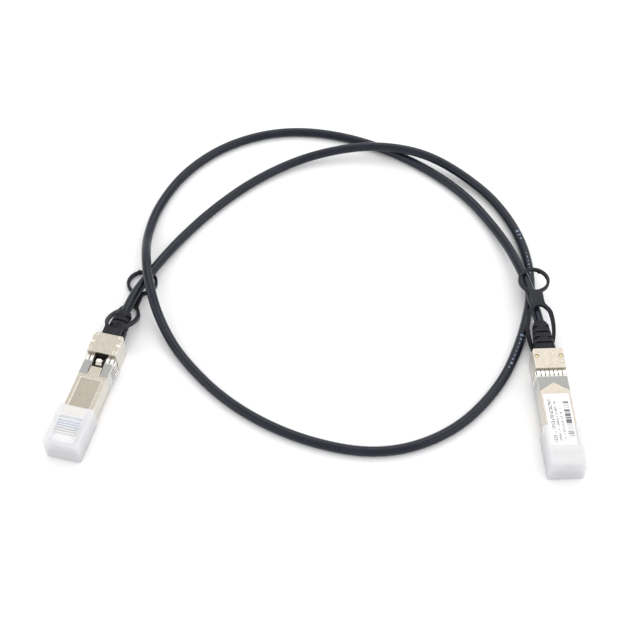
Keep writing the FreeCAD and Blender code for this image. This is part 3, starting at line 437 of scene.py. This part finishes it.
def capFinish(side):
    # milky plastic: thin at the mouth, ribbed on the latch side
    finish = Finish("frostedCap_" + side)
    spot = finish.place(side)
    u, y, z = finish.split(spot)
    out = abs(y)
    lip, face, lines, ribArea = (cap[part] for part in ("mouth", "labelFace", "lines", "ribArea"))
    paint, milk = cap["paint"], cap["milk"]
    cloud = finish.noise(spot, 0.18, 1.0)
    soft = finish.softEdge(cap["edge"])
    colour = finish.mix(finish.vary(cloud), tone(*cap["body"]), tone(*cap["thin"]))
    mouth = finish.within(u, *lip["along"], 0.5) * (out < lip["half"]) * (z > lip["above"])
    colour = finish.mix(mouth * paint["cream"], colour, tone(*cap["cream"]))
    # blue-grey grooves between the ribs, warmer towards the closed end
    row = (u - cap["ribFirst"]) / cap["ribPitch"]
    wave = abs(finish.repeat(row, 0.5) - 0.5)
    last = cap["ribFirst"] + (cap["ribs"] - 0.5) * cap["ribPitch"]
    ribFace = (out < ribArea["half"]) * (z > ribArea["above"])
    grooves = finish.within(u, cap["grooveStart"], last, 0.2) * ribFace
    grooves = grooves * finish.spread(wave, *cap["grooveSide"])
    warm = finish.mix(finish.spread(u, *cap["warm"]), tone(*cap["groove"]), tone(*cap["ember"]))
    colour = finish.mix(grooves * paint["groove"], colour, warm)
    # two fine lines on the label face, then painted shade darker towards the floor and a painted
    # highlight along the edges
    labelFace = z < face["below"]
    rows = sum(finish.within(u, *line) for line in lines["at"])
    rows = rows * labelFace * (out < lines["half"])
    colour = finish.mix(rows * paint["line"], colour, tone(*cap["line"]))
    # painted shade, darker towards the floor
    foot = finish.spread(finish.split(finish.place())[2], *cap["footFrom"])
    colour = finish.mix(foot * paint["foot"], colour, tone(*cap["foot"]))
    # painted highlight: paler along the edges
    colour = finish.mix(finish.edgeMask(soft) * paint["edges"], colour, tone(1.0, 1.0, 1.0))
    # painted light: paler where the cap is thin over the label face, against the shade it casts
    # there
    thin = finish.spread(u, *face["clearFrom"]) * labelFace * (out < face["half"])
    colour = finish.mix(thin, colour, tone(*cap["clear"]))
    milky = finish.within(u, *ribArea["along"], 0.3) * ribFace
    veil = cap["veil"] - thin * (cap["veil"] - cap["mouthVeil"])
    veil = veil + milky * (cap["ribVeil"] - cap["veil"]) + finish.vary(cloud, -0.01, 0.01)
    return finish.surface(Base_Color=colour, Roughness=finish.vary(cloud, *cap["rough"]),
                          Alpha=veil, Subsurface_Weight=milk["weight"],
                          Subsurface_Radius=(1.0, 1.0, 1.0), Subsurface_Scale=milk["depth"],
                          Normal=finish.bump(cloud, 0.00002, 0.1, soft))


board = {"dark": (0.01, 0.09, 0.035), "light": (0.02, 0.15, 0.06), "rough": (0.3, 0.42)}


def boardFinish():
    finish = Finish("circuitBoard")
    cloud = finish.noise(finish.place(), 1.2, 2.0)
    colour = finish.mix(cloud, tone(*board["dark"]), tone(*board["light"]))
    return finish.surface(Base_Color=colour, Roughness=finish.vary(cloud, *board["rough"]))


def plainPlastic(name, colour, rough):
    finish = Finish(name)
    cloud = finish.noise(finish.place(), 1.5)
    tinted = finish.mix(cloud, shaded(colour, 0.8), tone(*colour))
    return finish.surface(Base_Color=tinted, Roughness=rough,
                          Normal=finish.bump(cloud, 0.00002, 0.4))


# The label: a column of bars and three rows of plain blocks, none of them letters.

label = {
    "paper": (0.9, 0.9, 0.9), "ink": (0.06, 0.06, 0.07), "cover": 0.92,
    "bars": {"across": (2.3, 4.8), "along": (12.5, 31.0), "count": 3.4, "gaps": 0.38, "seed": 7},
    "rows": (
        {"middle": -3.35, "half": 0.8, "cells": 1.1, "seed": 3, "along": (9.5, 32.5)},
        {"middle": -1.3, "half": 0.52, "cells": 1.6, "seed": 11, "along": (10.5, 31.0)},
        {"middle": 0.75, "half": 0.52, "cells": 1.6, "seed": 23, "along": (11.0, 27.5)},
    ),
    "block": 0.74, "missingBlocks": 0.12, "drift": 0.999, "bites": {"height": 1.9, "share": 0.3},
}


def labelFinish(side):
    finish = Finish("paperLabel")
    spot = finish.place(side)
    u, y = finish.split(spot)[:2]

    def chance(place, scale, seed):
        return finish.node("ShaderNodeTexWhiteNoise", {"noise_dimensions": "1D"},
                           {"W": (place * scale + seed).maths("FLOOR")})

    def inside(feed, low, high):
        return (feed > low) * (feed < high)

    bars, bites = label["bars"], label["bites"]
    ink = (chance(u, bars["count"], bars["seed"]) > bars["gaps"]) * inside(y, *bars["across"])
    ink = ink * inside(u, *bars["along"])
    for row in label["rows"]:
        line = inside(y, row["middle"] - row["half"], row["middle"] + row["half"])
        line = line * inside(u, *row["along"])
        block = (u * row["cells"]).maths("FRACT") < label["block"]
        cell = finish.node("ShaderNodeCombineXYZ", {}, {
            "X": (u * row["cells"] * 2 + row["seed"]).maths("FLOOR"),
            "Y": (y * bites["height"]).maths("FLOOR")})
        bite = finish.node("ShaderNodeTexWhiteNoise", {"noise_dimensions": "2D"},
                           {"Vector": cell})
        word = chance(u, row["cells"] * label["drift"], row["seed"]) > label["missingBlocks"]
        ink = ink.maths("MAXIMUM", line * block * (bite > bites["share"]) * word)
    paper = finish.noise(spot, 3.0, 2.0)
    white = finish.mix(paper, shaded(label["paper"], 0.95), tone(*label["paper"]))
    colour = finish.mix(ink * label["cover"], white, tone(*label["ink"]))
    return finish.surface(Base_Color=colour, Roughness=finish.vary(paper, 0.38, 0.46),
                          Normal=finish.bump(paper, 0.00001, 0.3))


printInk = {"faint": (0.1, 0.14, 0.22), "full": (0.24, 0.31, 0.43), "rough": 0.5}


def printFinish():
    finish = Finish("palePrint")
    worn = finish.noise(finish.place(), 2.2)
    colour = finish.mix(finish.spread(worn, 0.35, 0.65), tone(*printInk["faint"]),
                        tone(*printInk["full"]))
    return finish.surface(Base_Color=colour, Roughness=printInk["rough"])


finishes = {
    "card": boardFinish(),
    "gold": plainMetal("goldContact", (0.85, 0.6, 0.25), 0.25),
    "chip": plainPlastic("moulding", (0.02, 0.02, 0.022), 0.5),
    "cores": plainPlastic("coreInsulation", (0.75, 0.77, 0.8), 0.4),
    "jacket": jacketFinish(),
    "ferrule": plainMetal("tinnedFerrule", (0.72, 0.7, 0.66), 0.35),
    "slider": plainMetal("sliderSteel", (0.6, 0.58, 0.55), 0.3),
    "spring": plainMetal("springWire", (0.7, 0.7, 0.7), 0.25),
    "rivet": plainMetal("rivetBrass", (0.95, 0.72, 0.36), 0.2),
    "print": printFinish(),
}
for side in stations:
    finishes["housing_" + side] = housingFinish(side)
    finishes["collar_" + side] = collarFinish(side)
    finishes["latch_" + side] = latchFinish(side)
    finishes["cap_" + side] = capFinish(side)
    finishes["boot_" + side] = mouldedBlack("boot", side)
    finishes["tab_" + side] = mouldedBlack("tab", side)
finishes["label_right"] = labelFinish("right")

wornBy = {
    "housing": ("top_shell", "latch_shell"), "collar": ("emi_collar",), "card": ("paddle_card",),
    "gold": ("card_contacts",), "chip": ("memory_chip",), "cores": ("wire_pairs",),
    "jacket": ("cable_tail", "cable"), "ferrule": ("crimp_ferrule",), "latch": ("latch_lever",),
    "slider": ("latch_pin", "pull_slider"), "spring": ("return_spring",), "boot": ("boot",),
    "tab": ("pull_tab",), "cap": ("dust_cap",), "rivet": ("rivets",), "label": ("label",),
}
for slotName, parts in wornBy.items():
    for nodeName, node in nodes.items():
        side, _, part = nodeName.partition("_")
        if part in parts or nodeName in parts:
            finish = finishes.get(slotName) or finishes[slotName + "_" + side]
            for i in range(len(node.data.materials)):
                node.data.materials[i] = finish
print("finishes on", len(nodes), "nodes")


# Moulded pieces with real rounded edges.

rounding = {
    "cap": {"width": 0.0011, "segments": 5, "front": -2.3},
    "tab": {"width": 0.0004, "segments": 3},
    "boot": {"width": 0.0003, "segments": 2},
    "crease": 0.6, "flat": 0.01,
}


def rounded(side, part, name, look, chosen, body):
    # a copy of a node, with a bevel on its outer edges where both ends are chosen
    mesh, work = weldedCopy(side + "_" + part)
    mesh.name = side + "_" + name
    bmesh.ops.dissolve_limit(work, angle_limit=rounding["flat"], verts=work.verts,
                             edges=work.edges)
    weight = work.edges.layers.float.new("bevel_weight_edge")
    back = modulePlace(side).inverted()
    for edge in work.edges:
        turn = edge.calc_face_angle_signed(0)
        if turn > rounding["crease"] and chosen([back @ end.co for end in edge.verts]):
            edge[weight] = 1.0
    for face in work.faces:
        face.smooth = True
    work.to_mesh(mesh)
    work.free()
    mesh.set_sharp_from_angle(angle=rounding["crease"])
    piece = newObject(mesh.name, mesh)
    trim = piece.modifiers.new("rounding", "BEVEL")
    trim.limit_method = "WEIGHT"
    trim.width = look["width"]
    trim.segments = look["segments"]
    trim.harden_normals = True
    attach(piece, body)
    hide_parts(side + "_" + part)
    return piece


def atFront(ends):
    return all(abs(end.x - rounding["cap"]["front"]) < 0.01 for end in ends)


def anywhere(ends):
    return True


for side in stations:
    piece = rounded(side, "dust_cap", "frosted_cap", rounding["cap"], atFront, side + "_cap")
    piece = rounded(side, "pull_tab", "moulded_tab", rounding["tab"], anywhere, side + "_tab")
    piece = rounded(side, "boot", "ribbed_boot", rounding["boot"], anywhere, "modules_and_cable")
print("caps, tabs and boots rounded")


# On the real part the springs shorten as the tabs are pulled, their far ends fixed; here they are
# copied a little slimmer and stay still.

spring = {"front": 51.65, "end": 56.05, "travel": 2.0, "level": 10.45, "slim": 0.85}


def coilSpring(side):
    mesh, work = weldedCopy(side + "_return_spring")
    place = modulePlace(side)
    back = place.inverted()
    for vert in work.verts:
        # a little slimmer, so that the closed coils pass over the latch
        u, y, z = back @ vert.co
        lift = (z - spring["level"]) * spring["slim"]
        vert.co = place @ Vector((u, y * spring["slim"], spring["level"] + lift))
    work.to_mesh(mesh)
    work.free()
    piece = newObject(side + "_coil_spring", mesh)
    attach(piece, "modules_and_cable")
    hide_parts(side + "_return_spring")
    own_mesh(piece)


for side in stations:
    coilSpring(side)
print("springs ready")


# Shapes grown by Geometry Nodes.

class Growth(Graph):
    # one tree with named inputs, grown on a carrier and baked to a plain mesh
    def __init__(self, name, values):
        self.tree = bpy.data.node_groups.new(name, "GeometryNodeTree")
        sockets = self.tree.interface
        sockets.new_socket("Geometry", in_out="INPUT", socket_type="NodeSocketGeometry")
        sockets.new_socket("Geometry", in_out="OUTPUT", socket_type="NodeSocketGeometry")
        self.values = values
        for title in values:
            sockets.new_socket(title, in_out="INPUT", socket_type="NodeSocketFloat")
        self.source = self.node("NodeGroupInput")

    def ask(self, title):
        return self.source.out(title)

    def chance(self, low, high, output=1, **feeds):
        return self.node("FunctionNodeRandomValue", {}, {2: low, 3: high, **feeds}, output)

    def finishWith(self, shape, finish):
        whole = self.node("GeometryNodeRealizeInstances", {}, {"Geometry": shape})
        smooth = self.node("GeometryNodeSetShadeSmooth", {}, {"Geometry": whole})
        worn = self.node("GeometryNodeSetMaterial", {}, {"Geometry": smooth, "Material": finish})
        self.node("NodeGroupOutput", {}, {"Geometry": worn}, output=None)

    def grow(self, name, carrier):
        modifier = carrier.modifiers.new(name, "NODES")
        modifier.node_group = self.tree
        for socket in self.tree.interface.items_tree:
            if socket.in_out == "INPUT" and socket.name in self.values:
                modifier[socket.identifier] = float(self.values[socket.name])
        bpy.context.view_layer.update()
        ready = carrier.evaluated_get(bpy.context.evaluated_depsgraph_get())
        mesh = bpy.data.meshes.new_from_object(ready)
        carrier.modifiers.remove(modifier)
        bpy.data.objects.remove(carrier)
        return newObject(name, mesh)


rivet = {"Radius": 0.00072, "Rise": 0.0004, "Collar": 0.0001}
rivetAt = {"u": 54.0, "y": 5.35, "z": 0.7}
rivetFacets = {"round": 28, "dome": 14, "collar": 8}


def rivetHeads(side):
    # a flattened dome in a rolled collar, on one point for each rivet
    growth = Growth("rivet_row_" + side, rivet)
    radius, rise, collar = (growth.ask(title) for title in rivet)
    ball = growth.node("GeometryNodeMeshUVSphere", {},
                       {"Segments": rivetFacets["round"], "Rings": rivetFacets["dome"],
                        "Radius": radius})
    squash = growth.node("ShaderNodeCombineXYZ", {}, {"X": 1.0, "Y": 1.0, "Z": rise / radius})
    dome = growth.node("GeometryNodeTransform", {}, {"Geometry": ball, "Scale": squash})
    hoop = growth.node("GeometryNodeCurvePrimitiveCircle", {},
                       {"Resolution": rivetFacets["round"], "Radius": radius - collar})
    wire = growth.node("GeometryNodeCurvePrimitiveCircle", {},
                       {"Resolution": rivetFacets["collar"], "Radius": collar})
    rolled = growth.node("GeometryNodeCurveToMesh", {}, {"Curve": hoop, "Profile Curve": wire})
    head = growth.node("GeometryNodeJoinGeometry")
    for shape in (dome, rolled):
        growth.tree.links.new(shape.socket, head.socket.node.inputs["Geometry"])
    row = growth.node("GeometryNodeInstanceOnPoints", {},
                      {"Points": growth.ask("Geometry"), "Instance": head})
    growth.finishWith(row, finishes["rivet"])
    mesh = bpy.data.meshes.new("rivet_places")
    place = modulePlace(side)
    spots = [place @ Vector((rivetAt["u"], y, rivetAt["z"])) for y in (-rivetAt["y"], rivetAt["y"])]
    mesh.from_pydata(spots, [], [])
    piece = growth.grow(side + "_rivet_heads", newObject("rivet_places", mesh))
    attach(piece, "modules_and_cable")
    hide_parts(side + "_rivets")


for side in stations:
    rivetHeads(side)
print("rivets set")


# Cable. Its ends are the boots' tips, a hair outside them.

cable = {
    "diameter": 4.5, "length": 0.92, "bootTip": 76.02, "axisHeight": 5.5, "steps": 10, "facets": 7,
    "route": [
        (-85, 38.1, 5.3), (-80.8, 47.3, 4.9), (-76.3, 56.2, 4.8), (-71.4, 66.5, 3.3),
        (-64.4, 78.8, 2.25), (-50.9, 96.7, 2.25), (-31.4, 116.7, 2.3), (-7.9, 131.5, 3.3),
        (15.6, 136.5, 6.4), (35.6, 136.9, 7.6), (57.1, 131.3, 7.5), (76.1, 119.8, 3.6),
        (92.1, 101.3, 2.25), (102.5, 74, 2.25), (103.4, 44.5, 2.25), (95.6, 16, 2.25),
        (83.1, -11, 2.25), (60.3, -35.5, 2.25), (29.1, -46.7, 2.25), (-6.4, -38.8, 2.25),
        (-37.4, -20.5, 2.25), (-60.7, 5.5, 2.25), (-71.7, 25.5, 5), (-77.3, 42.5, 9.9),
        (-80.2, 59, 9.9), (-81.9, 77.5, 3.6), (-78.3, 99.5, 2.25), (-66.1, 124.1, 2.25),
        (-44.9, 144.1, 2.25), (-15.9, 154.3, 2.25), (16.1, 150, 2.25), (47.6, 134, 2.25),
        (75.1, 109.3, 2.25), (91.6, 79, 2.9), (97.9, 54.5, 7.5), (101.5, 37, 7.5)],
}
printed = {
    "Start": 0.268, "End": 0.36, "Pitch": 0.0024, "Mark width": 0.0014, "Mark height": 0.0019,
    "Radius": 0.00226, "Shortest": 0.3, "Lowest": 0.45, "Word": 3.0, "Missing": 0.36, "Seed": 12,
}
markFacing = (0.0, -0.25, 1.0)  # up, and a little towards the near side


def bootTip(side):
    return modulePlace(side) @ Vector((cable["bootTip"], 0, cable["axisHeight"]))


def cableCurve(name, bevel):
    points = [bootTip("left")]
    points += [Vector(point) * mm for point in cable["route"]]
    points.append(bootTip("right"))
    curve = bpy.data.curves.new(name, "CURVE")
    curve.dimensions = "3D"
    curve.resolution_u = cable["steps"]
    curve.bevel_depth = bevel
    curve.bevel_resolution = cable["facets"]
    curve.use_fill_caps = bevel > 0
    line = curve.splines.new("NURBS")
    line.points.add(len(points) - 1)
    for spot, point in zip(line.points, points):
        spot.co = (*point, 1)
    line.order_u = 3
    line.use_endpoint_u = True
    return newObject(name, curve)


def printMarks():
    # pale blocks laid on the jacket along one stretch, like a run of print too small to read
    growth = Growth("jacket_print", printed)
    line = growth.node("GeometryNodeTrimCurve", {"mode": "LENGTH"}, {
        0: growth.ask("Geometry"), 4: growth.ask("Start"), 5: growth.ask("End")})
    points = growth.node("GeometryNodeCurveToPoints", {"mode": "LENGTH"}, {
        "Curve": line, "Length": growth.ask("Pitch")})
    # one flat mark, bent round the jacket
    flat = growth.node("GeometryNodeMeshGrid", {}, {
        "Size X": growth.ask("Mark width"), "Size Y": growth.ask("Mark height"),
        "Vertices X": 2, "Vertices Y": 7})
    spot = growth.node("ShaderNodeSeparateXYZ", {},
                       {"Vector": growth.node("GeometryNodeInputPosition")})
    radius = growth.ask("Radius")
    rise = (radius * radius - spot.out("Y") * spot.out("Y")) ** 0.5
    wrapped = growth.node("ShaderNodeCombineXYZ", {},
                          {"X": spot.out("X"), "Y": spot.out("Y"), "Z": rise})
    patch = growth.node("GeometryNodeSetPosition", {}, {"Geometry": flat, "Position": wrapped})
    # along the cable, its face turned up
    along = growth.node("FunctionNodeAlignRotationToVector", {"axis": "X"},
                        {"Vector": points.out("Tangent")})
    upright = growth.node("FunctionNodeAlignRotationToVector", {"axis": "Z", "pivot_axis": "X"}, {
        "Rotation": along, "Vector": markFacing})
    # no two marks alike, and whole words left out by chance
    seed = growth.ask("Seed")
    stretch = growth.node("ShaderNodeCombineXYZ", {}, {
        "X": growth.chance(growth.ask("Shortest"), 1.0, Seed=seed),
        "Y": growth.chance(growth.ask("Lowest"), 1.0, Seed=seed + 2), "Z": 1.0})
    word = (growth.node("GeometryNodeInputIndex") / growth.ask("Word")).maths("FLOOR")
    kept = growth.chance(0.0, 1.0, ID=word, Seed=seed + 1) > growth.ask("Missing")
    marks = growth.node("GeometryNodeInstanceOnPoints", {}, {
        "Points": points, "Selection": kept, "Instance": patch, "Rotation": upright,
        "Scale": stretch})
    growth.finishWith(marks, finishes["print"])
    return growth.grow("cable_print", cableCurve("print_path", 0))


cord = cableCurve("cable_jacket", cable["diameter"] / 2 * mm)
cord.data.materials.append(finishes["jacket"])
marks = printMarks()
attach(cord, "modules_and_cable")
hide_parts("cable")
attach(marks, "modules_and_cable")
print("cable laid,", len(marks.data.polygons), "print faces")


# Floor, light and camera.

studio = {
    "floor": 16.0, "pale": (0.93, 0.93, 0.935), "sky": 1.0, "aim": (0, 0.03, 0),
    "key": {"power": 4.4, "size": 1.0, "place": (0.25, 0.8, 1.15)},
    "fill": {"power": 3.6, "size": 1.1, "place": (1.0, -0.25, 0.55)},
    "side": {"power": 2.6, "size": 1.1, "place": (-1.0, -0.15, 0.5)},
}
view = {
    "place": (0.0031, -0.3130, 0.4395), "tilt": 38.01, "lens": 67.1, "sensor": 36,
    "shift": (-0.0011, -0.005),
}


def studioFloor():
    mesh = bpy.data.meshes.new("studio_floor")
    half = studio["floor"] / 2
    corners = [(-half, -half, 0), (half, -half, 0), (half, half, 0), (-half, half, 0)]
    mesh.from_pydata(corners, [], [(0, 1, 2, 3)])
    finish = Finish("paleFloor")
    mesh.materials.append(finish.surface(Base_Color=tone(*studio["pale"]), Roughness=0.9))
    newObject("studio_floor", mesh)


def softLamp(name):
    look = studio[name]
    lamp = bpy.data.lights.new(name + "_light", "AREA")
    lamp.size = look["size"]
    lamp.energy = look["power"]
    item = newObject(name + "_light", lamp)
    item.location = look["place"]
    aim = Vector(studio["aim"]) - Vector(look["place"])
    item.rotation_euler = aim.to_track_quat("-Z", "Y").to_euler()


studioFloor()
for name in ("key", "fill", "side"):
    softLamp(name)
world = bpy.data.worlds.new("studio_sky")
world.use_nodes = True
backdrop = world.node_tree.nodes["Background"].inputs
backdrop["Color"].default_value = (1, 1, 1, 1)
backdrop["Strength"].default_value = studio["sky"]
bpy.context.scene.world = world

lens = bpy.data.cameras.new("camera")
lens.lens = view["lens"]
lens.sensor_width = view["sensor"]
lens.shift_x, lens.shift_y = view["shift"]
camera = newObject("camera", lens)
camera.location = view["place"]
camera.rotation_euler = (math.radians(view["tilt"]), 0, 0)
bpy.context.scene.camera = camera
bpy.context.scene.view_settings.view_transform = "Standard"
print("camera and light set")
